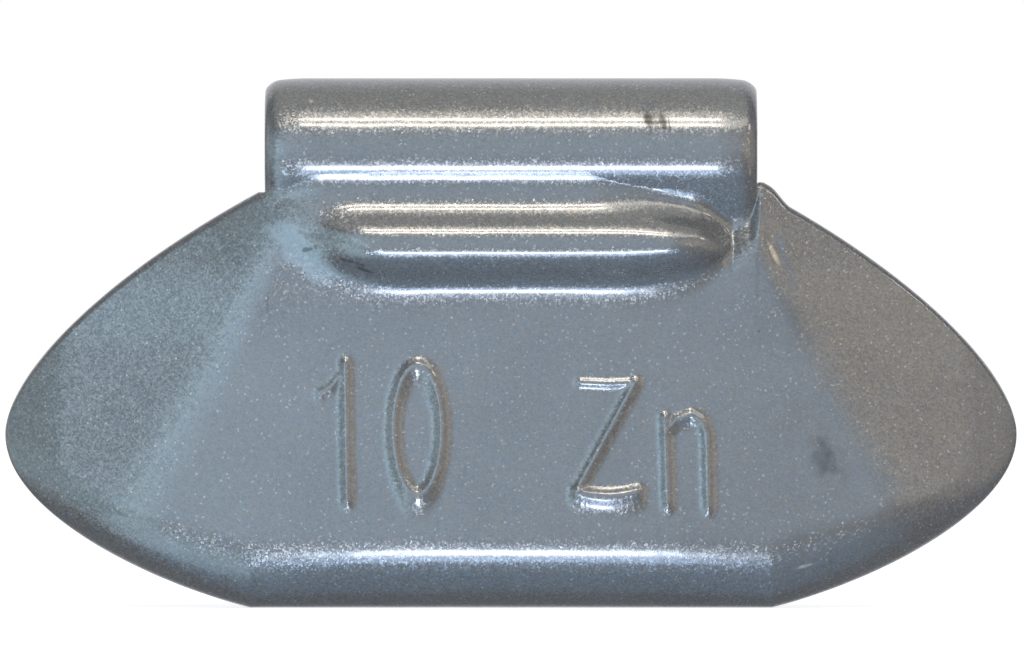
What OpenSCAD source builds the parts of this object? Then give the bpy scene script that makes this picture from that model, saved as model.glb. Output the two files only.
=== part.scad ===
// Wheel balance weight that clips on a rim: a die-cast body with a spring steel clip cast into it.
// The origin is the centre of the rim lip that the clip grips. +X runs along the rim,
// -Y faces away from the tyre and +Z points away from the centre of the wheel.

/* [Rim] */
// Thickness of the rim lip that the clip grips
lip_t = 2.6; // [2.2:0.1:3]
// Radius of the rim flange on its tyre side
flange_r = 9.5; // [8.5:0.5:12]
// Radius of the wheel at the rim lip
rim_r = 190; // [150:5:260]
// Gap between the casting and the hollow side of the flange
seat_gap = 0.3; // [0.1:0.1:0.6]

/* [Clip] */
// Width of the spring strip
clip_w = 16; // [13:0.5:20]
// Thickness of the spring strip
clip_t = 1; // [0.8:0.1:1.2]
// Rounding of the strip's long edges
strip_edge_r = 0.35; // [0.1:0.05:0.39]
// Angle by which the strip wraps under the front of the lip
wrap_angle = 28; // [26:1:34]
// Radius of the back bend, on the front of the strip
neck_r = 1.2; // [0.8:0.1:2]
// Straight stretch below the back bend
neck_l = 0.3; // [0.1:0.1:1]
// Angle at which the leg dips into the casting
leg_angle = 20; // [16:1:24]
// Length of the straight leg
leg_l = 5; // [4:0.5:6]
// Diameter of the two holes that key the leg to the casting
key_d = 2.4; // [1.5:0.1:3]
// Distance between the two keying holes
key_pitch = 8; // [5:0.5:9]
// Angle of the flange that the tail covers
tail_angle = 50; // [35:1:60]
// Angle by which the end of the tail turns away from the flange
lead_angle = 24; // [10:1:40]
// Radius of the turned end, on the outside of the strip
lead_r = 1.8; // [1:0.1:3]
// Rounding of the two corners of the tail
tail_corner_r = 1.6; // [0.8:0.1:2.5]

/* [Body outline] */
// Overall length along the rim
body_l = 33; // [30:0.5:44]
// Bottom edge, measured down from the lip centre
body_drop = 14.95; // [14:0.05:18]
// Length of the straight bottom edge
bottom_w = 17; // [12:0.5:20]
// Level of the two tips, measured down from the lip centre
tip_drop = 9.3; // [8.3:0.1:10.3]
// Level of the shoulders beside the clip, measured down from the lip centre
shoulder_drop = 1.42; // [1.4:0.02:1.6]
// Distance from the edge of the clip to the shoulder's corner
shoulder_run = 0.2; // [0.1:0.1:1]
// Slope of the upper edges at the shoulders
shoulder_slope = 28; // [22:1:34]
// Slope of the lower edges where they leave the bottom edge
heel_slope = 14; // [8:1:20]
// Pull of the shoulder's slope on the upper edge's curve
shoulder_pull = 5.5; // [4:0.1:7]
// Pull of the tip on the upper edge's curve
tip_pull_up = 2; // [1:0.1:3]
// Pull of the heel's slope on the lower edge's curve
heel_pull = 3.5; // [2:0.1:5]
// Pull of the tip on the lower edge's curve
tip_pull_down = 2.5; // [1.5:0.1:3.5]

/* [Body faces] */
// Distance of the front face in front of the lip centre
face_out = 1.71; // [1.65:0.01:1.78]
// Angle at which the two wings fall away from the front face
wing_angle = 18; // [12:1:22]
// Distance between the two creases at the shoulders
crease_w = 16.8; // [15:0.2:20]
// Spread of each crease for each millimetre further down
crease_spread = 0.53; // [0.3:0.01:0.7]
// Half of the width over which a crease is blended
crease_blend = 1.6; // [0.6:0.1:2.5]
// Rounding along the bottom and the lower edges
bottom_r = 2.5; // [1.5:0.1:3]
// Rounding around the two tips
tip_r = 1.25; // [0.6:0.05:1.6]
// Rounding along the upper edges
upper_r = 0.25; // [0.1:0.05:0.5]
// Distance of the back face behind the lip centre, at its top
back_out = 3.1; // [2.6:0.1:4]
// Angle at which the back face leans forward towards the bottom
back_lean = 9; // [4:1:12]
// Radius of the back face along the rim
back_r = 300; // [200:10:600]
// Rounding between the back face and the seat under the lip
seat_corner_r = 1.2; // [0.5:0.1:1.6]
// Rounding around the back face
back_edge_r = 0.4; // [0.2:0.1:0.6]
// Flat land of the side wall behind the front rounding
side_land = 0.6; // [0.3:0.1:1]

/* [Bead over the clip] */
// Level of the bead's axis, measured down from the lip centre
bead_drop = 3.2; // [3:0.1:3.6]
// Height of the bead in front of the face
bead_h = 0.95; // [0.7:0.05:1.2]
// Radius of the bead's crest
crest_r = 1.2; // [0.9:0.1:1.5]
// Radius of the fillet at the bead's foot
foot_r = 1.2; // [0.8:0.1:1.5]
// Distance from the clip's left edge to the start of the full bead
bead_left_in = 3; // [2.2:0.1:5]
// Distance from the clip's right edge to the end of the full bead
bead_right_in = 3.6; // [2.4:0.1:5]
// Lengthwise stretch of the bead's right nose
nose_stretch = 1.55; // [1:0.05:1.8]
// Slant of the bead's left end
bead_slant = 0.75; // [0:0.05:1]
// Cover of metal on the clip above the bead
cover_t = 0.1; // [0.06:0.02:0.2]
// Depth of the relief beside each edge of the clip
relief_d = 0.35; // [0.1:0.05:0.5]
// Width of the relief beside each edge of the clip
relief_w = 1.1; // [0.6:0.1:1.6]

/* [Hidden] */
$fn = 48;

// Strip and flange, worked out in the plane of the section as [y, z] points
lip_r = lip_t / 2;
bend_out_r = lip_r + clip_t;
flange_c = [0, lip_r - flange_r];
seat_r = flange_r - lip_t - seat_gap;
neck_c = -(bend_out_r + neck_r) * [cos(wrap_angle), sin(wrap_angle)];
strip_front = neck_c[0] + neck_r;
strip_back = strip_front + clip_t;
leg_c = [strip_back + lip_r, neck_c[1] - neck_l];
lead_c = flange_c + (flange_r + clip_t + lead_r) * [cos(90 - tail_angle), sin(90 - tail_angle)];

// Body outline, worked out in the plane of the front face as [x, z] points of the right half
shoulder = [clip_w / 2 + shoulder_run, -shoulder_drop];
heel = [bottom_w / 2, -body_drop];
tip = [body_l / 2, -tip_drop];
upper_edge = [
    shoulder,
    shoulder + shoulder_pull * [cos(shoulder_slope), -sin(shoulder_slope)],
    tip + [0, tip_pull_up],
    tip
];
lower_edge = [
    heel,
    heel + heel_pull * [cos(heel_slope), sin(heel_slope)],
    tip - [0, tip_pull_down],
    tip
];

// Bead, the thin cover of metal above it and the relief beside the clip, which all fade softly
bead_z = -bead_drop;
bead_left = -clip_w / 2 + bead_left_in;
bead_right = clip_w / 2 - bead_right_in;
bead_foot = bead_drop + foot_width(bead_h);
cover_h = -strip_front + cover_t - face_out;
cover_low = bead_z - crest_r / 4;
cover_rise = 0.9;
cover_left = -clip_w / 2 + 0.6;
cover_left_fade = 0.6;
cover_right = bead_right + 1;
cover_right_fade = 2;
relief_fade = 0.8;

// How finely the casting and the strip are drawn
centre_steps = [-1, -0.975, -0.94, -0.9, -0.86, -0.82, -0.77, -0.72, -0.66, -0.6, -0.5, -0.2,
    0.2, 0.45, 0.55, 0.63, 0.7, 0.76, 0.81, 0.85, 0.89, 0.92, 0.95, 0.975, 1];
wing_steps = 15;
wing_end = 0.965;
bead_share = (bead_foot - shoulder_drop) / (body_drop - bottom_r - shoulder_drop);
bead_steps = 16;
face_steps = 5;
edge_step = 30;
round_step = 15;
back_steps = 5;
seat_steps = 6;
corner_step = 22.5;
leg_steps = 3;
neck_steps = 5;
bend_steps = 16;
tail_steps = 9;
lead_steps = 8;

function blend(a, b, t) = a + (b - a) * t;
function limit(t) = min(1, max(0, t));
function ease(t) = let (u = limit(t)) u * u * (3 - 2 * u);
function square_of(t) = t * t;
function curve(p, t) = pow(1 - t, 3) * p[0] + 3 * pow(1 - t, 2) * t * p[1]
    + 3 * (1 - t) * t * t * p[2] + pow(t, 3) * p[3];

// A ramp that is flat below zero and rises one for one above it, blended over half width k
function ramp(t, k) = t <= -k ? 0 : t >= k ? t : square_of(t + k) / (4 * k);

// How far a rounding of one unit falls back at share s of its width, 0 at the edge and 1 inside
function inward(s) = max(0, 1 - s);
function fall(share_sum) = 1 - sqrt(1 - min(1, share_sum));

// The bead's section is a crest arc that runs into a foot arc on each side
function foot_width(h) = sqrt(2 * (crest_r + foot_r) * h - h * h);
function bead_rise(d, h) = let (w = foot_width(h), turn = w * crest_r / (crest_r + foot_r))
    d < turn ? h - crest_r + sqrt(crest_r * crest_r - d * d)
    : d < w ? foot_r - sqrt(foot_r * foot_r - square_of(w - d))
    : 0;
function bead_distance(x, z) = let (
        up = z - bead_z,
        right = max(0, x - bead_right) / nose_stretch,
        left = max(0, bead_left - bead_slant * up - x)
    ) norm([right + left, up]);

// Share of the thin cover on the clip at a place, full above the bead and none past its ends
function cover(x, z) = ease((z - cover_low) / cover_rise)
    * ease((x - cover_left) / cover_left_fade) * ease((cover_right - x) / cover_right_fade);

// Depth of the relief beside the edges of the clip
function relief(x, z) = relief_d * ease((z - bead_z) / relief_fade)
    * ease(1 - abs(abs(x) - shoulder[0] - relief_w / 4) / (relief_w / 2));

// Front face with its wings, the bead and the relief, and the back face, without edge roundings
function front(x, z) = let (
        crease = crease_w / 2 + crease_spread * (-z - bead_drop),
        wing = tan(wing_angle) * ramp(abs(x) - crease, crease_blend),
        lift = cover_h * cover(x, z)
    ) -face_out + wing + relief(x, z) - lift - bead_rise(bead_distance(x, z), bead_h - lift);
function back(x, z) = back_out + (z + shoulder_drop) * tan(back_lean) - x * x / (2 * back_r);

// Underside of the rim flange, less the gap, which the top of the casting follows
function seat(x, y) = flange_c[1] + sqrt(seat_r * seat_r - y * y) - x * x / (2 * rim_r);
function under_seat(p) = p[1] > strip_back ? [p[0], p[1], min(p[2], seat(p[0], p[1]))] : p;

// One point of the casting, s below the top of its section, on the front or on the back
function front_point(top, bottom, s, r) = let (
        h = norm(bottom - top),
        p = blend(top, bottom, s / h),
        y = front(p[0], p[1]),
        deep = max(0, back(p[0], p[1]) - side_land - y),
        low = square_of(inward((h - s) / r[1])) + square_of(inward((tip[0] - abs(p[0])) / tip_r)),
        high = square_of(inward(s / r[0]))
    ) [p[0], y + min(deep, deep * fall(low) + r[0] * fall(high)), p[1]];
function back_point(top, bottom, s, r) = let (
        h = norm(bottom - top),
        p = blend(top, bottom, s / h),
        low = square_of(inward((h - s) / r[2])) + square_of(inward((tip[0] - abs(p[0])) / back_edge_r)),
        high = square_of(inward(s / r[3]))
    ) under_seat([p[0], back(p[0], p[1]) - r[2] * fall(low) - r[3] * fall(high), p[1]]);

// One closed section of the casting between a point of its upper edge and one of its lower edge:
// down the front, round the bottom, up the back and forward along the seat
function section(top, bottom) = let (
        h = norm(bottom - top),
        r = [min(upper_r, h / 10), min(bottom_r, h / 2), min(back_edge_r, h / 10), min(seat_corner_r, h / 5)],
        flat = h - r[0] - r[1],
        front_y = front_point(top, bottom, 0, r)[1],
        back_y = back_point(top, bottom, 0, r)[1],
        front_drops = concat(
            [for (a = [0 : edge_step : 90 - edge_step]) r[0] * (1 - cos(a))],
            [for (i = [0 : bead_steps - 1]) r[0] + flat * bead_share * i / bead_steps],
            [for (i = [0 : face_steps - 1]) r[0] + flat * blend(bead_share, 1, i / face_steps)],
            [for (a = [0 : round_step : 90]) h - r[1] * (1 - sin(a))]
        ),
        back_drops = concat(
            [for (a = [0 : 45 : 90]) h - r[2] * (1 - cos(a))],
            [for (i = [1 : back_steps - 1]) blend(h - r[2], r[3], i / back_steps)],
            [for (a = [0 : corner_step : 90]) r[3] * (1 - sin(a))]
        )
    ) concat(
        [for (s = front_drops) front_point(top, bottom, s, r)],
        [for (s = back_drops) back_point(top, bottom, s, r)],
        [for (i = [1 : seat_steps - 1]) under_seat([top[0], blend(back_y, front_y, i / seat_steps), top[1]])]
    );

function mirrored(p) = [-p[0], p[1]];
function wing_sections(side) = [
    for (i = [1 : wing_steps]) let (t = wing_end * sin(90 * i / wing_steps))
        side > 0 ? section(curve(upper_edge, t), curve(lower_edge, t))
        : section(mirrored(curve(upper_edge, t)), mirrored(curve(lower_edge, t)))
];
function reversed(list) = [for (i = [len(list) - 1 : -1 : 0]) list[i]];
function total(list, i = 0) = i < len(list) ? list[i] + total(list, i + 1) : [0, 0, 0];
function middle(list) = total(list) / len(list);

// Skin through closed sections that all have the same number of points, with both ends closed
module skin(sections) {
    rows = len(sections);
    row = len(sections[0]);
    last = rows * row;
    points = concat([for (s = sections) each s], [middle(sections[0]), middle(sections[rows - 1])]);
    sides = [for (i = [0 : rows - 2], j = [0 : row - 1]) let (a = i * row + j, b = i * row + (j + 1) % row)
        each [[a, b + row, b], [a, a + row, b + row]]];
    ends = [for (j = [0 : row - 1]) let (k = (j + 1) % row)
        each [[last, j, k], [last + 1, last - row + k, last - row + j]]];
    polyhedron(points, concat(sides, ends));
}

module casting_blank() {
    centre = [for (f = centre_steps) section([f * shoulder[0], shoulder[1]], [f * heel[0], heel[1]])];
    skin(concat(reversed(wing_sections(-1)), centre, wing_sections(1)));
}

// Stops along the strip's rim side, from the end of the leg to the end of the tail. A stop holds
// y, z, the direction of the strip's outside, the metal left for the bore and the distance to
// the end of the tail where that matters.
function polar(c, r, a) = c + r * [cos(a), sin(a)];
function stop(p, out, stock = 0, to_end = tail_corner_r) = [p[0], p[1], out, stock, to_end];
bore_stock = 0.05;
leg_out = 180 + leg_angle;
leg_start = polar(leg_c, lip_r, leg_out);
leg_end = leg_start + leg_l * [-sin(leg_out), cos(leg_out)];
lead_from = 270 - tail_angle;
lead_l = lead_angle * PI / 180 * (lead_r + clip_t);
strip_stops = concat(
    [stop(leg_end, leg_out)],
    [for (i = [0 : leg_steps]) let (a = leg_out - leg_angle * i / leg_steps)
        stop(polar(leg_c, lip_r, a), a)],
    [for (i = [0 : neck_steps - 1]) let (a = wrap_angle * i / neck_steps)
        stop(polar(neck_c, neck_r + clip_t, a), a + 180)],
    [for (i = [0 : bend_steps]) let (a = blend(180 + wrap_angle, 90, i / bend_steps))
        stop(polar([0, 0], lip_r, a), a, bore_stock)],
    [for (i = [1 : tail_steps]) let (a = 90 - tail_angle * i / tail_steps)
        stop(polar(flange_c, flange_r, a), a, 0, lead_l + (a - 90 + tail_angle) * PI / 180 * flange_r)],
    [for (i = [1 : lead_steps]) let (part = sin(90 * i / lead_steps), a = lead_from + lead_angle * part)
        stop(polar(lead_c, lead_r + clip_t, a), a + 180, 0, lead_l * (1 - part))]
);

// Rounded cross-section of the strip at a stop, narrowed by the round corners at the tail's end
function narrowed(to_end) = tail_corner_r * fall(square_of(inward(to_end / tail_corner_r)));
function strip_section(s) = let (
        e = strip_edge_r,
        side = clip_w / 2 - narrowed(s[4]) - e,
        high = clip_t - e,
        low = e - s[3],
        out = [0, cos(s[2]), sin(s[2])],
        corners = [[side, high], [-side, high], [-side, low], [side, low]]
    ) [for (q = [0 : 3], a = [90 * q : edge_step : 90 * q + 90])
        let (p = polar(corners[q], e, a)) [p[0], s[0], s[1]] + p[1] * out];

module strip() skin(reversed([for (s = strip_stops) strip_section(s)]));

module key_holes() {
    leg_middle = (leg_start + leg_end) / 2;
    for (side = [-1, 1]) translate([side * key_pitch / 2, leg_middle[0], leg_middle[1]])
        rotate([90 + leg_angle, 0, 0]) cylinder(d = key_d, h = 4 * clip_t, center = true);
}

module lip_bore() rotate([0, 90, 0]) cylinder(r = lip_r, h = clip_w + 2, center = true);

module spring_clip() color("silver") difference() {
    strip();
    key_holes();
    lip_bore();
}

module cast_body() color("lightslategray") difference() {
    casting_blank();
    difference() {
        strip();
        key_holes();
    }
}

cast_body();
spring_clip();
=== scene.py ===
import math

import bpy
import numpy as np
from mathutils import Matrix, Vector


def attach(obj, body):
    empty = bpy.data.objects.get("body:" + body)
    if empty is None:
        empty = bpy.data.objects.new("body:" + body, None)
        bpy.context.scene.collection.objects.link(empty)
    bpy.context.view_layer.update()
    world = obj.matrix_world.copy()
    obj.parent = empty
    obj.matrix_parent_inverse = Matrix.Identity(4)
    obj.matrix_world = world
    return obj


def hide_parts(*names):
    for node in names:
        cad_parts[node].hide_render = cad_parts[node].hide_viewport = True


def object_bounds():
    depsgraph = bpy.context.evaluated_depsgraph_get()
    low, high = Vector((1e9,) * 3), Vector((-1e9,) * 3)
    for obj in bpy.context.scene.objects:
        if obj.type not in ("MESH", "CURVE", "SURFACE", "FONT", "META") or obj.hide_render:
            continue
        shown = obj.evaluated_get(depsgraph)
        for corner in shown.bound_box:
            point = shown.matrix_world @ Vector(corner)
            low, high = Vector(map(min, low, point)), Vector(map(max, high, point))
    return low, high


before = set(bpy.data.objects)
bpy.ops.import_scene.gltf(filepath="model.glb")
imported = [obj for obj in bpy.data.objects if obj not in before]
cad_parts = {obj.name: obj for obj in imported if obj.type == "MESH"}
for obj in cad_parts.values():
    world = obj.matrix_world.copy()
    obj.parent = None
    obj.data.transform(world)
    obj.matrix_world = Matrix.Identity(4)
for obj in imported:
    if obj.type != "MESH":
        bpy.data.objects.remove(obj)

cad_low, cad_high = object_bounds()
MM = 0.001

# A distance in millimetres at which nothing counts any more
FAR = 9

# Camera: a long lens that looks along the rim's axis at the front face, framed as the photo is
VIEW_WIDTH = 33.391
VIEW_CENTRE = (0.033, -6.098)
VIEW_PLANE = 0.5
VIEW_DISTANCE = 500.0
SENSOR = 36.0

camera_data = bpy.data.cameras.new("camera")
camera_data.sensor_width = SENSOR
camera_data.lens = SENSOR * VIEW_DISTANCE / VIEW_WIDTH
camera_data.clip_start = 0.01
camera_data.clip_end = 20
camera = bpy.data.objects.new("camera", camera_data)
camera.location = Vector((VIEW_CENTRE[0], VIEW_PLANE - VIEW_DISTANCE, VIEW_CENTRE[1])) * MM
camera.rotation_euler = (math.pi / 2, 0, 0)
bpy.context.scene.collection.objects.link(camera)
bpy.context.scene.camera = camera
bpy.context.scene.view_settings.view_transform = "Standard"

# Clip sizes, in millimetres in the part's frame: the lip's centre is the origin
LIP_R = 1.3
CLIP_T = 1.0
CLIP_W = 16.0
STRIP_EDGE_R = 0.48
DROOP_H = 0.12
DROOP_FROM = 6.5
ROLL_R = LIP_R + CLIP_T
WRAP_ANGLE = 28.0
SHEET_L = 2.0
NECK_R = 1.2
LEG_L = 5.0
FLANGE_R = 9.5
FLANGE_Z = LIP_R - FLANGE_R
TAIL_ANGLE = 50.0
LEAD_ANGLE = 24.0
LEAD_R = 1.8
TAIL_CORNER_R = 1.6
WRAP_SIN = math.sin(math.radians(WRAP_ANGLE))
WRAP_COS = math.cos(math.radians(WRAP_ANGLE))
SHEET_TOP_Z = -ROLL_R * WRAP_SIN
SHEET_TOP_Y = -ROLL_R * WRAP_COS
NECK_Y = SHEET_TOP_Y + SHEET_L * WRAP_SIN - NECK_R * WRAP_COS
NECK_Z = SHEET_TOP_Z - SHEET_L * WRAP_COS - NECK_R * WRAP_SIN
STRIP_BACK = NECK_Y + NECK_R + CLIP_T

# Casting sizes
SHOULDER = np.array([8.2, -1.42])
HEEL = np.array([8.5, -14.95])
TIP = np.array([16.5, -9.3])
FACE_OUT = 1.71
WING_ANGLE = 18.0
CREASE_LEFT = (7.5, 0.56)
CREASE_RIGHT = (8.0, 0.62)
CREASE_BLEND = (0.55, 0.09)
BOTTOM_ROUND = [(0, 2.5), (9.5, 2.5), (12, 2.2), (17, 2.2)]
BOW_R = 160.0
BOW_REACH = 9.5
BOW_TOP = (-3.6, 3.0)
TIP_R = 2.0
UPPER_R = 0.25
BACK_OUT = 3.1
BACK_LEAN = 9.0
BACK_R = 300.0
SEAT_CORNER_R = 1.2
BACK_EDGE_R = 0.4
SIDE_LAND = 0.6
SEAT_R = 6.6
RIM_R = 190.0

# Pulls of the outline's curves: at the shoulder and the heel a length and a direction in degrees
UPPER_PULL = (5.5, -28)
LOWER_PULL = (3.5, 14)
TIP_PULL_UP = 2
TIP_PULL_DOWN = 2.5
OUTLINE_END = 0.9985
TIP_CROWDING = 0.015

# The right shoulder's rise, the pocket at the clip's lower right corner and the ridge beside it.
# A side is given by its place and by the length of its slope, and POCKET_LOW is a point of the
# pocket's lower edge
SHOULDER_STEP = 0.32
SHOULDER_STEP_FROM = (7.8, 0.25)
SHOULDER_STEP_TO = (9.1, 0.7)
POCKET_D = 0.46
POCKET_LEFT = (5.9, 1.3)
POCKET_RIGHT = (8.12, 0.36)
POCKET_LOW = (6.6, -2.4)
POCKET_LOW_TURN = 7.2
POCKET_LOW_SLOPES = (0.75, 1.0)
POCKET_LOW_FADE = (1.3, 2.0)
RIDGE_H = 0.06
RIDGE_LEFT = (7.75, 0.3)
RIDGE_RIGHT = (8.95, 0.9)
RIDGE_LOW = (-3.6, 1.6)

# Trench beside the strip: x, z and depth along its middle line
GROOVE = [(8.3, -2.4, 0.0), (8.5, -3.0, 0.09), (8.85, -4.0, 0.05), (9.1, -4.9, 0.0)]
GROOVE_W = 0.42

# Bead over the clip, with the paint that has settled around it
BEAD_Z = -3.105
BEAD_H = 1.014
CREST_R = 1.066
FOOT_R = 1.42
BEAD_LEFT = -4.3
NOSE_FROM = 2.9
NOSE_L = 4.3
NOSE_END = 0.995
NOSE_DROP_FROM = 4.9
NOSE_DROP_POWER = 2.5
TAPER_STRETCH = 2.3
TAPER_DROP = (-4.7, 2.6, 0.5)
BEAD_SLANT = 0.75
BEAD_BLEND = 0.02
COVER_H = 0.328
COVER_LEFT = -10.0
COVER_LEFT_FADE = 2.2
COVER_RIGHT = 6.2
COVER_RIGHT_FADE = 3.8
VALLEY_Z = -1.39
FILM_TOP = -0.73
FILM_END = -0.94
FILM_LEFT_SINE = 0.288
FILM_LEFT_SHARE = (-4.2, 1.4)
FILM_OVERRUN = 0.05
FILM_OVERRUN_SINK = 0.0005
FILM_OVERRUN_SLOPE = 0.02
BEHIND_STRIP = 0.002
STRIP_BLEND = 0.2
CLIP_SIDE_BLEND = (0.24, 0.22)
UNDER_BEAD = [(0, 0), (0.285, 0.267), (0.6, 0.563), (0.8, 0.7), (0.95, 0.74), (1.1, 0.7), (1.3, 0.52),
              (1.515, 0.267), (1.945, 0.13), (2.3, 0.045), (2.7, 0)]

# How finely the tables are divided and over how many of their steps they are smoothed
UNDER_STEPS = 541
UNDER_SMOOTH = 31
ROUND_STEPS = 681
ROUND_SMOOTH = 41
FILM_STEPS = 200
OUTLINE_STEPS = 4001

# How finely the casting's skin is divided
MIDDLE_COLUMNS = 284
WING_COLUMNS = 96
TOP_ROWS = 12
FACE_LEVELS = (SHOULDER[1] - UPPER_R, -5.2, -6.3, -12.1, -12.45)
FACE_SPACING = (0.078, 0.12, 0.062, 0.12)
LOW_ROUND_ROWS = 20
BACK_EDGE_ROWS = 5
BACK_ROWS = 10
SEAT_CORNER_ROWS = 7
SEAT_ROWS = 9


def ease(t):
    u = np.clip(t, 0, 1)
    return u * u * (3 - 2 * u)


def ramp(t, k):
    return np.where(t <= -k, 0, np.where(t >= k, t, (t + k) ** 2 / (4 * k)))


def fall(share):
    return 1 - np.sqrt(1 - np.minimum(1, share))


def inward(share):
    return np.maximum(0, 1 - share)


def soft_min(a, b, k):
    h = np.maximum(k - np.abs(a - b), 0) / k
    return np.minimum(a, b) - h * h * k / 4


def arc_rise(d, h, crest, foot):
    """Section of a bead: a crest arc that runs into a foot arc, for a height h at distance d."""
    w = np.sqrt(np.maximum(0, 2 * (crest + foot) * h - h * h))
    turn = w * crest / (crest + foot)
    top = h - crest + np.sqrt(np.maximum(0, crest ** 2 - np.minimum(d, crest) ** 2))
    low = foot - np.sqrt(np.maximum(0, foot ** 2 - np.clip(w - d, 0, foot) ** 2))
    return np.where(d < turn, top, np.where(d < w, low, 0))


def smoothed_knots(knots, at, span):
    """Values between knots, with the corners rounded off over an odd number of samples."""
    value = np.interp(at, [k[0] for k in knots], [k[1] for k in knots])
    kernel = np.hanning(span)
    return np.convolve(np.pad(value, span // 2, mode="edge"), kernel / kernel.sum(), mode="valid")


def slope_table(knots):
    """Distances and heights of a section whose slope is given at some distances."""
    at = np.linspace(0, knots[-1][0], UNDER_STEPS)
    sine = smoothed_knots(knots, at, UNDER_SMOOTH)
    slope = np.tan(np.arcsin(sine - sine[0] * (1 - at / at[-1])))
    drop = np.concatenate([[0], np.cumsum((slope[1:] + slope[:-1]) / 2 * np.diff(at))])
    return at, 1 - drop / drop[-1]


UNDER_AT, UNDER_SHARE = slope_table(UNDER_BEAD)


def film_table(flat):
    """Heights of the paint's surface, from the valley above the bead up to the roll."""
    z = np.linspace(VALLEY_Z, FILM_TOP, FILM_STEPS)
    sine = -np.minimum((z - VALLEY_Z) / FOOT_R, flat)
    slope = np.tan(np.arcsin(sine))
    return z, np.concatenate([[0], np.cumsum((slope[1:] + slope[:-1]) / 2 * np.diff(z))])


FILM_Z, FILM_RISE = film_table((FILM_END - VALLEY_Z) / FOOT_R)
FILM_LEFT_RISE = film_table(FILM_LEFT_SINE)[1]
VALLEY_Y = -FILM_RISE[-1] - math.sqrt(ROLL_R ** 2 - FILM_TOP ** 2)


def film(x, z):
    """Rise of the paint's surface above the valley, with a flatter curve at the left."""
    share = ease((FILM_LEFT_SHARE[0] - x) / FILM_LEFT_SHARE[1])
    return (1 - share) * np.interp(z, FILM_Z, FILM_RISE) + share * np.interp(z, FILM_Z, FILM_LEFT_RISE)


def smooth_at(knots, at):
    fine = np.linspace(knots[0][0], knots[-1][0], ROUND_STEPS)
    return np.interp(at, fine, smoothed_knots(knots, fine, ROUND_SMOOTH))


def droop(x):
    """How far the strip's front sinks towards its long edges, in its last millimetres."""
    return DROOP_H * np.maximum(0, (np.abs(x) - DROOP_FROM) / (CLIP_W / 2 - DROOP_FROM)) ** 2


def strip_edge(x):
    out = np.clip((np.abs(x) - CLIP_W / 2 + STRIP_EDGE_R) / STRIP_EDGE_R, 0, 1)
    return STRIP_EDGE_R * (1 - np.sqrt(1 - out * out)) + droop(x) / WRAP_COS


def strip_surface(x, z):
    """Front of the clip's strip, with the rounding of its long edges."""
    roll = -np.sqrt(np.maximum(0, ROLL_R ** 2 - z ** 2))
    sheet = SHEET_TOP_Y + (SHEET_TOP_Z - np.maximum(z, NECK_Z)) * WRAP_SIN / WRAP_COS
    y = np.where(z >= SHEET_TOP_Z, roll, sheet)
    return y + strip_edge(x) + np.where((np.abs(x) > CLIP_W / 2) | (z < NECK_Z), FAR, 0)


# Raised characters on the face: the weight in grams and the sign of the metal
CHAR_H = 0.12
CHAR_CREST = 0.13
CHAR_FOOT = 0.46
CHAR_JOIN = 4
CHAR_SIDE = 8
CHAR_TOP = -5.8
CHAR_BOTTOM = -13.2


def loop_of(x, z, half_w, half_h, steps):
    turn = [2 * math.pi * i / steps for i in range(steps + 1)]
    return [(x + half_w * math.cos(a), z + half_h * math.sin(a)) for a in turn]


# Each stroke: share of the height, how far its lower flank is drawn out, and its points
STROKES = [
    (1.0, 1.6, [(-5.38, -6.98), (-5.35, -9.2), (-5.315, -11.4)]),
    (0.6, 1.8, [(-5.5, -7.35), (-5.85, -7.75), (-6.2, -7.95)]),
    (1.25, 2.7, loop_of(-3.033, -9.12, 0.783, 2.1, 48)),
    (0.7, 1.1, [(2.25, -7.6), (3.2, -7.64), (4.04, -7.6)]),
    (1.0, 1.2, [(4.04, -7.6), (2.15, -11.1)]),
    (1.4, 2.4, [(2.15 + 0.15 * i, -11.27 + 0.14 * (i / 6.5 - 1) ** 2) for i in range(14)]),
    (1.0, 1.6, [(5.0, -8.75), (5.09, -11.5)]),
    (1.0, 1.6, [(5.02, -9.2), (5.38, -8.8), (5.84, -8.64), (6.2, -8.84), (6.36, -9.3), (6.41, -11.6)]),
]


def characters(x, z):
    """Height of the characters above the face, where strokes that meet run into one another."""
    total = 0 * x
    inside = (np.abs(x) < CHAR_SIDE) & (z < CHAR_TOP) & (z > CHAR_BOTTOM)
    px, pz = x[inside], z[inside]
    found = 0 * px
    for share, sag, stroke in STROKES:
        best = np.full(px.shape, float(FAR))
        for (ax, az), (bx, bz) in zip(stroke[:-1], stroke[1:]):
            ux, uz = bx - ax, bz - az
            t = np.clip(((px - ax) * ux + (pz - az) * uz) / (ux * ux + uz * uz), 0, 1)
            ox, oz = px - ax - t * ux, pz - az - t * uz
            best = np.minimum(best, np.hypot(ox, np.where(oz < 0, oz / sag, oz)))
        found = found + arc_rise(best, CHAR_H * share, CHAR_CREST, CHAR_FOOT) ** CHAR_JOIN
    total[inside] = found ** (1 / CHAR_JOIN)
    return total


def cover(x):
    return ease((x - COVER_LEFT) / COVER_LEFT_FADE) * ease((COVER_RIGHT - x) / COVER_RIGHT_FADE)


def groove(x, z):
    """A soft trench beside the strip, that runs out at the top of the right crease."""
    deep = 0 * x
    for (ax, az, a), (bx, bz, b) in zip(GROOVE[:-1], GROOVE[1:]):
        ux, uz = bx - ax, bz - az
        t = np.clip(((x - ax) * ux + (z - az) * uz) / (ux * ux + uz * uz), 0, 1)
        off = np.hypot(x - ax - t * ux, z - az - t * uz) / GROOVE_W
        deep = np.maximum(deep, (a + (b - a) * t) * ease(1 - off))
    return deep


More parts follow.
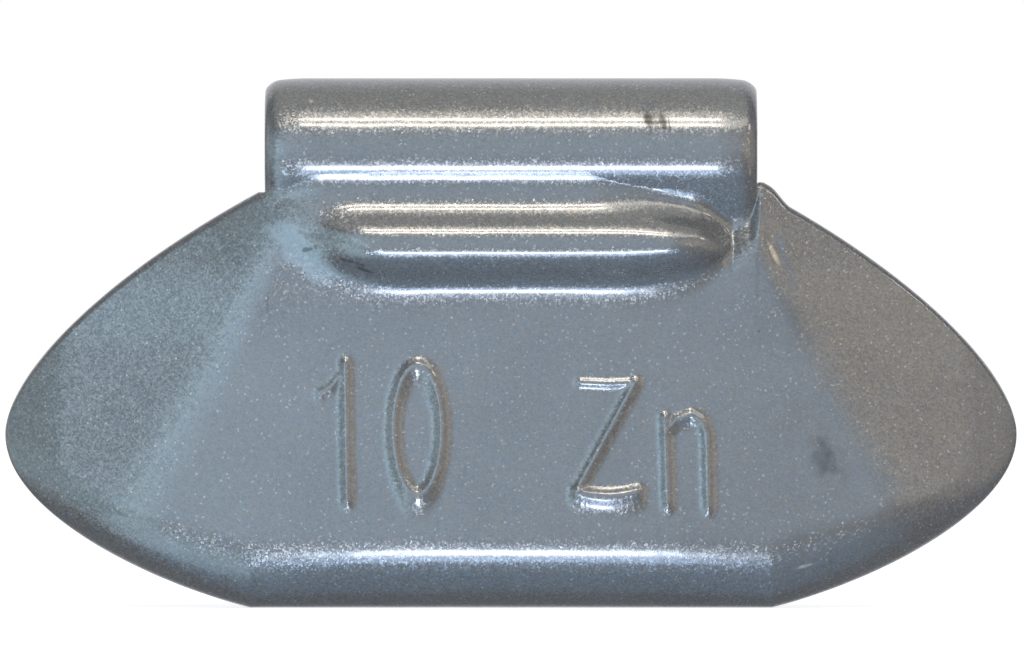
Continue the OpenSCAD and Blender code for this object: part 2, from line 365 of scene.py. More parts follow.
def face(x, z):
    """Front of the casting: wings, pocket, ridge, trench, bead, valley above it and characters."""
    drop = BEAD_Z - z
    crease_left = CREASE_LEFT[0] + CREASE_LEFT[1] * drop
    crease_right = CREASE_RIGHT[0] + CREASE_RIGHT[1] * drop
    crease = np.where(x < 0, crease_left, crease_right)
    blend = CREASE_BLEND[0] + CREASE_BLEND[1] * np.maximum(0, drop)
    low_share = ease((BOW_TOP[0] - z) / BOW_TOP[1])
    reach = np.minimum(np.abs(x), BOW_REACH)
    bow = reach * (np.abs(x) - reach / 2) / BOW_R * low_share
    wing_slope = math.tan(math.radians(WING_ANGLE)) - low_share * BOW_REACH / BOW_R
    wing = wing_slope * ramp(np.abs(x) - crease, blend)
    pocket_low = POCKET_LOW[1] - POCKET_LOW_SLOPES[0] * (np.minimum(x, POCKET_LOW_TURN) - POCKET_LOW[0])
    pocket_low = pocket_low + POCKET_LOW_SLOPES[1] * np.maximum(0, x - POCKET_LOW_TURN)
    pocket = POCKET_D * ease((x - POCKET_LEFT[0]) / POCKET_LEFT[1])
    pocket = pocket * ease((POCKET_RIGHT[0] - x) / POCKET_RIGHT[1])
    pocket = pocket * ease((z - pocket_low + POCKET_LOW_FADE[0]) / POCKET_LOW_FADE[1])
    ridge = RIDGE_H * ease((x - RIDGE_LEFT[0]) / RIDGE_LEFT[1])
    ridge = ridge * ease((RIDGE_RIGHT[0] - x) / RIDGE_RIGHT[1]) * ease((z - RIDGE_LOW[0]) / RIDGE_LOW[1])
    base = -FACE_OUT + wing + bow + pocket - ridge + groove(x, z)
    lift = COVER_H * cover(x)
    up = z - BEAD_Z
    along = np.clip((x - NOSE_FROM) / NOSE_L, 0, NOSE_END)
    narrow = np.sqrt(1 - along * along)
    past = np.clip((x - NOSE_DROP_FROM) / (NOSE_FROM + NOSE_L - NOSE_DROP_FROM), 0, 1)
    high = 1 - past ** NOSE_DROP_POWER
    high = high * (1 - TAPER_DROP[2] * ease((TAPER_DROP[0] - x) / TAPER_DROP[1]))
    left = np.maximum(0, BEAD_LEFT - BEAD_SLANT * up - x) / TAPER_STRETCH
    d = np.hypot(left, up / narrow)
    above = base - lift - high * arc_rise(d, BEAD_H - lift, CREST_R, FOOT_R)
    below = base - high * BEAD_H * np.interp(d, UNDER_AT, UNDER_SHARE)
    share = ease(0.5 + 0.5 * up / (d + BEAD_BLEND))
    y = share * above + (1 - share) * below
    return y + np.where(z > VALLEY_Z, film(x, z), 0) - characters(x, z)


def back(x, z):
    lean = math.tan(math.radians(BACK_LEAN))
    return BACK_OUT + (z - SHOULDER[1]) * lean - x * x / (2 * BACK_R)


def under_seat(x, y, z):
    seat = FLANGE_Z + np.sqrt(np.maximum(0, SEAT_R ** 2 - y * y)) - x * x / (2 * RIM_R)
    return np.where(y > STRIP_BACK, np.minimum(z, seat), z)


def bezier(p, t):
    t = t[:, None]
    return (1 - t) ** 3 * p[0] + 3 * (1 - t) ** 2 * t * p[1] + 3 * (1 - t) * t * t * p[2] + t ** 3 * p[3]


def direction(angle):
    return np.array([math.cos(math.radians(angle)), math.sin(math.radians(angle))])


def outline(columns, wing_columns):
    """Points of the upper and the lower edge of the casting, from the left tip to the right one."""
    upper = [SHOULDER, SHOULDER + UPPER_PULL[0] * direction(UPPER_PULL[1]), TIP + (0, TIP_PULL_UP), TIP]
    lower = [HEEL, HEEL + LOWER_PULL[0] * direction(LOWER_PULL[1]), TIP - (0, TIP_PULL_DOWN), TIP]
    fine = np.linspace(0, 1, OUTLINE_STEPS)
    run = bezier(upper, fine)
    length = np.concatenate([[0], np.cumsum(np.hypot(*np.diff(run, axis=0).T))])
    steps = np.linspace(0, 1, wing_columns + 1)[1:]
    steps = (1 - TIP_CROWDING) * steps + TIP_CROWDING * np.sin(steps * math.pi / 2)
    t = np.interp(steps * length[-1] * OUTLINE_END, length, fine)
    top, bottom = bezier(upper, t), bezier(lower, t)
    f = np.linspace(-1, 1, columns)[:, None]
    mirror = np.array([-1, 1])
    tops = np.vstack([top[::-1] * mirror, np.hstack([f * SHOULDER[0], 0 * f + SHOULDER[1]]), top])
    step = SHOULDER_STEP * ease((tops[:, 0] - SHOULDER_STEP_FROM[0]) / SHOULDER_STEP_FROM[1])
    tops[:, 1] += step * ease((SHOULDER_STEP_TO[0] - tops[:, 0]) / SHOULDER_STEP_TO[1])
    bottoms = np.vstack([bottom[::-1] * mirror, np.hstack([f * HEEL[0], 0 * f + HEEL[1]]), bottom])
    return tops, bottoms


def spaced(levels, spacing):
    """Levels between given ones, at about the spacing that is given for each stretch."""
    out = []
    for a, b, s in zip(levels[:-1], levels[1:], spacing):
        n = max(1, round(abs(b - a) / s))
        out += [a + (b - a) * i / n for i in range(n)]
    return np.array(out + [levels[-1]])


def casting_grid():
    """Rings of points round the casting, from the left tip to the right one."""
    top, bottom = outline(MIDDLE_COLUMNS, WING_COLUMNS)
    h = np.hypot(*(bottom - top).T)[:, None]
    x0, z0 = top[:, :1], top[:, 1:]
    dx, dz = (bottom - top)[:, :1] / h, (bottom - top)[:, 1:] / h
    r_up = np.minimum(UPPER_R, h / 10)
    r_low = np.minimum(smooth_at(BOTTOM_ROUND, np.abs(x0)), h / 2)
    r_back = np.minimum(BACK_EDGE_R, h / 10)
    r_seat = np.minimum(SEAT_CORNER_R, h / 5)

    def front_row(s):
        x, z = x0 + dx * s, z0 + dz * s
        y = face(x, z)
        deep = np.maximum(0, back(x, z) - SIDE_LAND - y)
        low = inward((h - s) / r_low) ** 2
        low = low + inward((TIP[0] - np.abs(x)) / TIP_R) ** 2 * (1 - low)
        edge = np.where(np.abs(x) < CLIP_W / 2, 0, 1) * r_up * fall(inward(s / r_up) ** 2)
        y = y + np.minimum(deep, deep * fall(low) + edge)
        near = np.abs(x) < CLIP_W / 2
        merged = soft_min(y, strip_surface(x, z) + BEHIND_STRIP, STRIP_BLEND)
        return x, np.where(near, merged, y), z

    def back_row(s):
        x, z = x0 + dx * s, z0 + dz * s
        low = inward((h - s) / r_back) ** 2
        low = low + inward((TIP[0] - np.abs(x)) / BACK_EDGE_R) ** 2 * (1 - low)
        y = back(x, z) - r_back * fall(low) - r_seat * fall(inward(s / r_seat) ** 2)
        return x, y, under_seat(x, y, z)

    # Top rows: the paint that runs up the clip, or the rounding of the upper edge beside it
    q = np.linspace(0, 1, TOP_ROWS)[None, :]
    ax, ay, az = front_row(r_up * (1 - np.cos(q * math.pi / 2)))
    fz = FILM_TOP + FILM_OVERRUN + (SHOULDER[1] - UPPER_R - FILM_TOP - FILM_OVERRUN) * q
    fx = x0 + 0 * q
    strip = strip_surface(fx, fz)
    high = ease((fz - VALLEY_Z) / (FILM_TOP - VALLEY_Z))
    _, valley_y, _ = front_row(z0 - VALLEY_Z)
    paint_y = VALLEY_Y + film(fx, fz) + (valley_y - VALLEY_Y) * (1 - high)
    paint_y = paint_y + high * (COVER_H * (1 - cover(fx)) + strip_edge(fx))
    _, own, _ = front_row(z0 - fz)
    fy = np.where(fz > VALLEY_Z, np.minimum(paint_y, strip + BEHIND_STRIP), own)
    sunk = strip + FILM_OVERRUN_SLOPE * (fz - FILM_TOP) + FILM_OVERRUN_SINK
    fy = np.where(fz > FILM_TOP, sunk, fy)
    share = ease((np.abs(x0) - CLIP_W / 2 + CLIP_SIDE_BLEND[0]) / CLIP_SIDE_BLEND[1])
    top_rows = [a * share + b * (1 - share) for a, b in ((ax, fx), (ay, fy), (az, fz))]

    drops = SHOULDER[1] - spaced(FACE_LEVELS, FACE_SPACING)
    shares = (drops - drops[0]) / (drops[-1] - drops[0])
    s_face = r_up + (h - r_up - r_low) * shares[None, 1:]
    turn = np.linspace(0, math.pi / 2, LOW_ROUND_ROWS)[None, 1:]
    s_round = h - r_low * (1 - np.sin(turn))
    front = [np.hstack(parts) for parts in zip(top_rows, front_row(s_face), front_row(s_round))]

    turn = np.linspace(0, math.pi / 2, BACK_EDGE_ROWS)[None, :]
    s_low = h - r_back * (1 - np.cos(turn))
    mid = np.linspace(0, 1, BACK_ROWS)[None, 1:-1]
    s_mid = (h - r_back) * (1 - mid) + r_seat * mid
    turn = np.linspace(0, math.pi / 2, SEAT_CORNER_ROWS)[None, :]
    s_high = r_seat * (1 - np.sin(turn))
    rear = [np.hstack(parts) for parts in zip(back_row(s_low), back_row(s_mid), back_row(s_high))]

    # The seat runs forward from the back's top to the front's first row, inside the steel of the clip
    first = np.stack([a[:, 0] for a in (ax, ay, az)], -1)
    last = np.stack([a[:, -1] for a in rear], -1)
    u = np.linspace(0, 1, SEAT_ROWS)[None, 1:-1]
    sx = first[:, :1] * u + last[:, :1] * (1 - u)
    sy = first[:, 1:2] * u + last[:, 1:2] * (1 - u)
    sz = under_seat(sx, sy, z0 + 0 * u)
    return np.stack([np.hstack([f, r, s]) for f, r, s in zip(front, rear, (sx, sy, sz))], -1)


def mesh_from_grid(name, grid):
    """A closed skin through rings of points, with a point at the middle of each end."""
    rings, ring = grid.shape[:2]
    points = np.vstack([grid.reshape(-1, 3), grid[0].mean(0), grid[-1].mean(0)])
    a = np.arange(rings - 1)[:, None] * ring + np.arange(ring)[None, :]
    b = np.arange(rings - 1)[:, None] * ring + (np.arange(ring)[None, :] + 1) % ring
    quads = np.stack([a, a + ring, b + ring, b], -1).reshape(-1, 4)
    j = np.arange(ring)
    k = (j + 1) % ring
    last = rings * ring
    first_end = np.stack([np.full(ring, last), j, k], -1)
    last_end = np.stack([np.full(ring, last + 1), last - ring + k, last - ring + j], -1)
    faces = quads.tolist() + first_end.tolist() + last_end.tolist()
    mesh = bpy.data.meshes.new(name)
    mesh.from_pydata((points * MM).tolist(), [], faces)
    mesh.update()
    return mesh


def volume_of(mesh):
    mesh.calc_loop_triangles()
    co = np.zeros(len(mesh.vertices) * 3)
    mesh.vertices.foreach_get("co", co)
    co = co.reshape(-1, 3)
    tri = np.zeros(len(mesh.loop_triangles) * 3, np.int32)
    mesh.loop_triangles.foreach_get("vertices", tri)
    t = co[tri.reshape(-1, 3)]
    return float(np.einsum("ij,ij->i", t[:, 0], np.cross(t[:, 1], t[:, 2])).sum() / 6)


PEEL_H = 0.0009
PEEL_SEED = 7
PEEL_WAVES = 36
PEEL_LENGTHS = (0.45, 1.5)
PEEL_PHASES = (0, 6.283)


def peel(points):
    """Orange peel of the sprayed paint: a sum of waves in fixed random directions, which PEEL_H scales."""
    rng = np.random.default_rng(PEEL_SEED)
    total = np.zeros(len(points))
    for _ in range(PEEL_WAVES):
        length = rng.uniform(*PEEL_LENGTHS)
        way = rng.normal(size=3)
        way /= np.linalg.norm(way)
        total += length * np.sin(points @ way * 2 * math.pi / length + rng.uniform(*PEEL_PHASES))
    return total / math.sqrt(PEEL_WAVES / 2)


def finish_piece(obj, node, material):
    """Turns the skin outwards, adds the orange peel and the material, hangs the piece under the root and
    hides the CAD part it stands in for.
    """
    mesh = obj.data
    if volume_of(mesh) < 0:
        mesh.flip_normals()
    co = np.zeros(len(mesh.vertices) * 3)
    mesh.vertices.foreach_get("co", co)
    normal = np.zeros(len(mesh.vertices) * 3)
    mesh.vertices.foreach_get("normal", normal)
    co, normal = co.reshape(-1, 3), normal.reshape(-1, 3)
    co += normal * (peel(co / MM) * PEEL_H * MM)[:, None]
    mesh.vertices.foreach_set("co", co.ravel())
    mesh.polygons.foreach_set("use_smooth", [True] * len(mesh.polygons))
    mesh.update()
    mesh.materials.clear()
    mesh.materials.append(material)
    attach(obj, "root")
    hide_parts(node)


# Paint: the shared groups put out only colours, values and normals
GREY = (0.21, 0.215, 0.22)
# The pale colour serves a scuff and painted cool highlights, and the warm colour serves painted glints
SCUFF_AND_PAINTED_HIGHLIGHT_COLOUR = (0.36, 0.43, 0.47, 1)
PAINTED_GLINT_COLOUR = (0.62, 0.56, 0.47, 1)
DARK_COLOUR = (0.03, 0.032, 0.035, 1)
BARE_COLOUR = (0.1, 0.09, 0.08, 1)
METALLIC = 0.55
ROUGH_FRESH = 0.27
ROUGH_DULLED = 0.6
COAT_FRESH = 1.0
COAT_DULLED = 0.12
COAT_ROUGH = 0.13
COAT_IOR = 1.8
CLOUD_SCALE = 420.0
CLOUD = 0.05
CLOUD_RANGE = (0.3, 0.7)
GLINT_SHARE = (0.975, 0.985)
GLINT_GAIN = 0.9
GRAIN_SCALE = 2600.0
GRAIN_RANGE = (0.35, 0.65)
PALE_LEAST = 0.72
PALE_DULLING = 0.5
WOBBLE_GAIN = 4.0


def new_group(name, inputs, outputs):
    tree = bpy.data.node_groups.new(name, "ShaderNodeTree")
    for label, kind, value in inputs:
        socket = tree.interface.new_socket(label, in_out="INPUT", socket_type=kind)
        socket.default_value = value
    for label, kind in outputs:
        tree.interface.new_socket(label, in_out="OUTPUT", socket_type=kind)
    return tree, tree.nodes.new("NodeGroupInput"), tree.nodes.new("NodeGroupOutput")


def add(tree, kind, inputs=None, **settings):
    node = tree.nodes.new(kind)
    for key, value in settings.items():
        setattr(node, key, value)
    for key, value in (inputs or {}).items():
        if isinstance(value, bpy.types.NodeSocket):
            tree.links.new(value, node.inputs[key])
        else:
            node.inputs[key].default_value = value
    return node


def math_node(tree, operation, a, b=0.0):
    return add(tree, "ShaderNodeMath", {0: a, 1: b}, operation=operation).outputs[0]


def vector_node(tree, operation, a, b=None, scale=None):
    inputs = {0: a}
    if b is not None:
        inputs[1] = b
    if scale is not None:
        inputs["Scale"] = scale
    node = add(tree, "ShaderNodeVectorMath", inputs, operation=operation)
    return node.outputs["Value" if operation in ("DOT_PRODUCT", "LENGTH") else "Vector"]


def map_node(tree, value, low, high, to_low, to_high, kind="SMOOTHSTEP"):
    return add(tree, "ShaderNodeMapRange", {
        "Value": value, "From Min": low, "From Max": high, "To Min": to_low, "To Max": to_high,
    }, interpolation_type=kind).outputs[0]


def mix_colour(tree, share, a, b, blend="MIX"):
    node = add(tree, "ShaderNodeMix", data_type="RGBA", blend_type=blend)
    for index, value in ((0, share), (6, a), (7, b)):
        if isinstance(value, bpy.types.NodeSocket):
            tree.links.new(value, node.inputs[index])
        else:
            node.inputs[index].default_value = value
    return node.outputs[2]


def flake_group():
    """Metal flakes in the paint: each cell of a fine pattern lies at its own small tilt."""
    tree, given, out = new_group("metal_flakes", [
        ("Place", "NodeSocketVector", (0, 0, 0)),
        ("Colour", "NodeSocketColor", (0.2, 0.21, 0.22, 1)),
        ("Flakes per metre", "NodeSocketFloat", 18000),
        ("Tilt", "NodeSocketFloat", 0.2),
        ("Contrast", "NodeSocketFloat", 0.5),
        ("Tint", "NodeSocketFloat", 0.2),
    ], [("Colour", "NodeSocketColor"), ("Normal", "NodeSocketVector")])
    cells = add(tree, "ShaderNodeTexVoronoi", {
        "Vector": given.outputs["Place"], "Scale": given.outputs["Flakes per metre"]})
    split = add(tree, "ShaderNodeSeparateColor", {0: cells.outputs["Color"]})
    spread = vector_node(tree, "SUBTRACT", cells.outputs["Color"], (0.5, 0.5, 0.5))
    bend = vector_node(tree, "SCALE", spread, scale=given.outputs["Tilt"])
    surface = add(tree, "ShaderNodeNewGeometry").outputs["Normal"]
    normal = vector_node(tree, "NORMALIZE", vector_node(tree, "ADD", surface, bend))
    coarse = add(tree, "ShaderNodeTexNoise", {
        "Vector": given.outputs["Place"], "Scale": CLOUD_SCALE, "Detail": 3.0})
    cloud = map_node(tree, coarse.outputs["Fac"], *CLOUD_RANGE, -CLOUD, CLOUD, "LINEAR")
    level = math_node(tree, "SUBTRACT", split.outputs[0], 0.5)
    level = math_node(tree, "MULTIPLY", level, given.outputs["Contrast"])
    # The brightest few cells are lifted in the colour: painted glints of the flakes
    glint = map_node(tree, split.outputs[1], *GLINT_SHARE, 0, GLINT_GAIN)
    gain = math_node(tree, "ADD", math_node(tree, "ADD", level, glint), cloud)
    gain = math_node(tree, "ADD", gain, 1.0)
    shade = math_node(tree, "SUBTRACT", split.outputs[2], 0.5)
    shade = math_node(tree, "MULTIPLY", shade, given.outputs["Tint"])
    shade = vector_node(tree, "ADD", vector_node(tree, "SCALE", (-1, 0, 1), scale=shade), (1, 1, 1))
    colour = vector_node(tree, "MULTIPLY", given.outputs["Colour"], shade)
    colour = vector_node(tree, "SCALE", colour, scale=gain)
    tree.links.new(colour, out.inputs["Colour"])
    tree.links.new(normal, out.inputs["Normal"])
    return tree


FLAKES = flake_group()


def patch_group():
    """A soft-edged oval patch at a place on the part, with a wobbling outline."""
    tree, given, out = new_group("oval_patch", [
        ("Place", "NodeSocketVector", (0, 0, 0)),
        ("Centre", "NodeSocketVector", (0, 0, 0)),
        ("Turn", "NodeSocketFloat", 0.0),
        ("Half size", "NodeSocketVector", (0.001, 0.001, 0.001)),
        ("Edge", "NodeSocketFloat", 0.3),
        ("Wobble", "NodeSocketFloat", 0.2),
        ("Noise", "NodeSocketFloat", 0.5),
        ("Amount", "NodeSocketFloat", 1.0),
    ], [("Value", "NodeSocketFloat")])
    turned = add(tree, "ShaderNodeVectorRotate", {
        "Vector": given.outputs["Place"], "Center": given.outputs["Centre"], "Angle": given.outputs["Turn"],
    }, rotation_type="Y_AXIS").outputs[0]
    off = vector_node(tree, "SUBTRACT", turned, given.outputs["Centre"])
    size = vector_node(tree, "LENGTH", vector_node(tree, "DIVIDE", off, given.outputs["Half size"]))
    wobble = math_node(tree, "SUBTRACT", given.outputs["Noise"], 0.5)
    wobble = math_node(tree, "MULTIPLY", wobble, given.outputs["Wobble"])
    size = math_node(tree, "ADD", size, math_node(tree, "MULTIPLY", wobble, WOBBLE_GAIN))
    inner = math_node(tree, "SUBTRACT", 1.0, given.outputs["Edge"])
    share = map_node(tree, size, inner, 1.0, 1, 0)
    tree.links.new(math_node(tree, "MULTIPLY", share, given.outputs["Amount"]), out.inputs["Value"])
    return tree


PATCH = patch_group()

# Marks on the painted surface: x, z, half length and half width in millimetres, turn in degrees,
# and the shares of the soft edge, the wobble and the amount
# The first three pale marks are a scuff at the bead's left end. The last three are painted cool highlights
# along the left crease and the lower left edge.
PALE_SCUFF_AND_PAINTED_HIGHLIGHTS_ON_ZINC = [
    (-7.35, -2.7, 0.75, 0.42, 12, 0.35, 0.35, 0.75),
    (-6.85, -3.35, 1.15, 0.62, 52, 0.3, 0.3, 0.9),
    (-6.3, -3.95, 0.75, 0.5, 30, 0.4, 0.3, 0.7),
    (-10.4, -8.3, 2.9, 0.3, -60, 0.9, 0.3, 0.25),
    (-13.3, -11.2, 1.7, 0.3, 22, 0.9, 0.3, 0.3),
    (-11.0, -12.9, 1.3, 0.35, 36, 0.9, 0.3, 0.25),
]
# The warm marks on the zinc are painted highlights: a streak beside the clip's right side and a glint on a
# small nick at the lower right.
PAINTED_GLINTS_ON_ZINC = [
    (8.55, -3.45, 0.62, 0.12, 64, 0.7, 0.15, 0.95),
    (9.59, -13.57, 0.6, 0.08, -15, 0.7, 0.2, 1.0),
]
DARK_ON_ZINC = [
    (-6.62, -3.3, 0.24, 0.09, -12, 0.5, 0.5, 0.65),
    (-6.35, -3.2, 0.1, 0.07, 60, 0.5, 0.5, 0.6),
    (-5.1, -3.72, 0.62, 0.08, 14, 0.7, 0.5, 0.6),
    (-4.75, -3.95, 0.3, 0.05, 20, 0.5, 0.5, 0.7),
    (10.24, -10.1, 1.05, 0.65, 52, 0.95, 0.3, 0.75),
    (-8.45, -4.3, 0.08, 0.08, 0, 0.6, 0.3, 0.7),
    (-2.15, -12.9, 0.06, 0.06, 0, 0.6, 0.3, 0.6),
    (8.05, -5.95, 0.07, 0.07, 0, 0.6, 0.3, 0.7),
    (8.0, -4.3, 1.6, 0.13, 90, 0.9, 0.2, 0.2),
    (-7.9, -5.1, 0.5, 0.07, 90, 0.9, 0.2, 0.3),
]
BARE_ON_ZINC = [(-4.43, -14.82, 0.12, 0.1, 0, 0.6, 0.6, 0.9)]
BARE_ON_STEEL = [
    (4.48, 0.85, 0.5, 0.17, 78, 0.8, 0.4, 0.9),
    (4.72, 0.82, 0.42, 0.2, 78, 0.9, 0.4, 0.45),
    (4.95, 0.8, 0.5, 0.18, 80, 0.8, 0.4, 0.85),
    (5.14, 0.72, 0.4, 0.05, 82, 0.9, 0.3, 0.7),
]
# The warm marks on the steel are painted glints: near the roll's left end, on the clip's right edge and
# among the scratches on the roll.
PAINTED_GLINTS_ON_STEEL = [
    (-7.5, 0.78, 0.17, 0.04, 75, 0.6, 0.3, 0.9),
    (-7.14, 0.85, 0.15, 0.035, 70, 0.6, 0.3, 0.7),
    (-6.49, 1.53, 0.09, 0.07, 0, 0.6, 0.3, 0.9),
    (7.75, -0.75, 0.2, 0.03, 85, 0.6, 0.3, 0.7),
    (7.72, 0.22, 0.12, 0.03, 85, 0.6, 0.3, 0.6),
    (4.72, 0.98, 0.14, 0.06, 70, 0.6, 0.3, 0.95),
    (4.9, 0.62, 0.16, 0.035, 80, 0.6, 0.3, 0.6),
]
MARK_Y = -1.9
MARK_DEPTH = 1.6


def marks(tree, place, noise, rows):
    """The strongest of several patches at each place of the front side."""
    total = None
    for x, z, half_l, half_w, turn, edge, wobble, amount in rows:
        node = add(tree, "ShaderNodeGroup", node_tree=PATCH)
        tree.links.new(place, node.inputs["Place"])
        tree.links.new(noise, node.inputs["Noise"])
        node.inputs["Centre"].default_value = (x * MM, MARK_Y * MM, z * MM)
        node.inputs["Turn"].default_value = math.radians(-turn)
        node.inputs["Half size"].default_value = (half_l * MM, MARK_DEPTH * MM, half_w * MM)
        node.inputs["Edge"].default_value = edge
        node.inputs["Wobble"].default_value = wobble
        node.inputs["Amount"].default_value = amount
        value = node.outputs["Value"]
        total = value if total is None else math_node(tree, "MAXIMUM", total, value)
    return 0.0 if total is None else total


def paint(name, scuff_and_painted_highlight, painted_glint, dark, bare):
    """Grey metallic paint under a clear coat, with pale scuffs and painted cool highlights, painted warm
    glints, dark marks and bare places; the pale and the bare ones are duller.
    """
    material = bpy.data.materials.new(name)
    material.use_nodes = True
    tree = material.node_tree
    shader = tree.nodes["Principled BSDF"]
    place = add(tree, "ShaderNodeTexCoord").outputs["Object"]
    flakes = add(tree, "ShaderNodeGroup", node_tree=FLAKES)
    tree.links.new(place, flakes.inputs["Place"])
    flakes.inputs["Colour"].default_value = (*GREY, 1)
    grain = add(tree, "ShaderNodeTexNoise", {"Vector": place, "Scale": GRAIN_SCALE, "Detail": 2.0})
    noise = grain.outputs["Fac"]
    scuff_and_painted_highlight, painted_glint, dark, bare = (marks(tree, place, noise, rows) for rows in (scuff_and_painted_highlight, painted_glint, dark, bare))
    scuff_and_painted_highlight = math_node(tree, "MULTIPLY", scuff_and_painted_highlight, map_node(tree, noise, *GRAIN_RANGE, PALE_LEAST, 1.0, "LINEAR"))
    # Over the flakes' colour go pale scuffs with painted cool highlights, painted warm glints, dark marks
    # and bare places
    shown = mix_colour(tree, scuff_and_painted_highlight, flakes.outputs["Colour"], SCUFF_AND_PAINTED_HIGHLIGHT_COLOUR)
    shown = mix_colour(tree, painted_glint, shown, PAINTED_GLINT_COLOUR)
    shown = mix_colour(tree, dark, shown, DARK_COLOUR)
    shown = mix_colour(tree, bare, shown, BARE_COLOUR)
    tree.links.new(shown, shader.inputs["Base Color"])
    tree.links.new(flakes.outputs["Normal"], shader.inputs["Normal"])
    dulled = math_node(tree, "MAXIMUM", bare, math_node(tree, "MULTIPLY", scuff_and_painted_highlight, PALE_DULLING))
    rough = map_node(tree, dulled, 0, 1, ROUGH_FRESH, ROUGH_DULLED, "LINEAR")
    coat = map_node(tree, dulled, 0, 1, COAT_FRESH, COAT_DULLED, "LINEAR")
    tree.links.new(rough, shader.inputs["Roughness"])
    tree.links.new(coat, shader.inputs["Coat Weight"])
    shader.inputs["Metallic"].default_value = METALLIC
    shader.inputs["Coat Roughness"].default_value = COAT_ROUGH
    shader.inputs["Coat IOR"].default_value = COAT_IOR
    return material


# On the steel the bare places are the dark ones too
PAINT_ON_ZINC = paint("grey_paint_on_zinc", PALE_SCUFF_AND_PAINTED_HIGHLIGHTS_ON_ZINC, PAINTED_GLINTS_ON_ZINC, DARK_ON_ZINC, BARE_ON_ZINC)
PAINT_ON_STEEL = paint("grey_paint_on_steel", [], PAINTED_GLINTS_ON_STEEL, BARE_ON_STEEL, BARE_ON_STEEL)

# The casting
casting = bpy.data.objects.new("cast_weight", mesh_from_grid("cast_weight", casting_grid()))
bpy.context.scene.collection.objects.link(casting)
finish_piece(casting, "cast_body", PAINT_ON_ZINC)


# The clip: a strip swept along its middle line, in the plane of the section
LEG_STEPS = 20
NECK_STEPS = 18
SHEET_STEPS = 12
WRAP_STEPS = 80
FLANGE_STEPS = 60
LEAD_STEPS = 24
STRIP_SPACING = 0.12
STRIP_EDGE_STEPS = 12
DROOP_OUTWARD = 1.5


def polar(c, r, a):
    return (c[0] + r * math.cos(math.radians(a)), c[1] + r * math.sin(math.radians(a)))


def clip_path():
    half = CLIP_T / 2
    bottom = (NECK_Y + NECK_R + half, NECK_Z - LEG_L)
    path = [(bottom[0], bottom[1] + LEG_L * i / LEG_STEPS) for i in range(LEG_STEPS)]
    for i in range(NECK_STEPS + 1):
        path.append(polar((NECK_Y, NECK_Z), NECK_R + half, WRAP_ANGLE * i / NECK_STEPS))
    first, last = 180 + WRAP_ANGLE, 90
    start, end = path[-1], polar((0, 0), LIP_R + half, first)
    run, rise = end[0] - start[0], end[1] - start[1]
    for i in range(1, SHEET_STEPS):
        path.append((start[0] + run * i / SHEET_STEPS, start[1] + rise * i / SHEET_STEPS))
    for i in range(WRAP_STEPS + 1):
        path.append(polar((0, 0), LIP_R + half, first + (last - first) * i / WRAP_STEPS))
    for i in range(1, FLANGE_STEPS + 1):
        path.append(polar((0, FLANGE_Z), FLANGE_R + half, 90 - TAIL_ANGLE * i / FLANGE_STEPS))
    lead = polar((0, FLANGE_Z), FLANGE_R + CLIP_T + LEAD_R, 90 - TAIL_ANGLE)
    angle = 270 - TAIL_ANGLE
    for i in range(1, LEAD_STEPS + 1):
        turn = LEAD_ANGLE * math.sin(math.pi / 2 * i / LEAD_STEPS)
        path.append(polar(lead, LEAD_R + half, angle + turn))
    return path


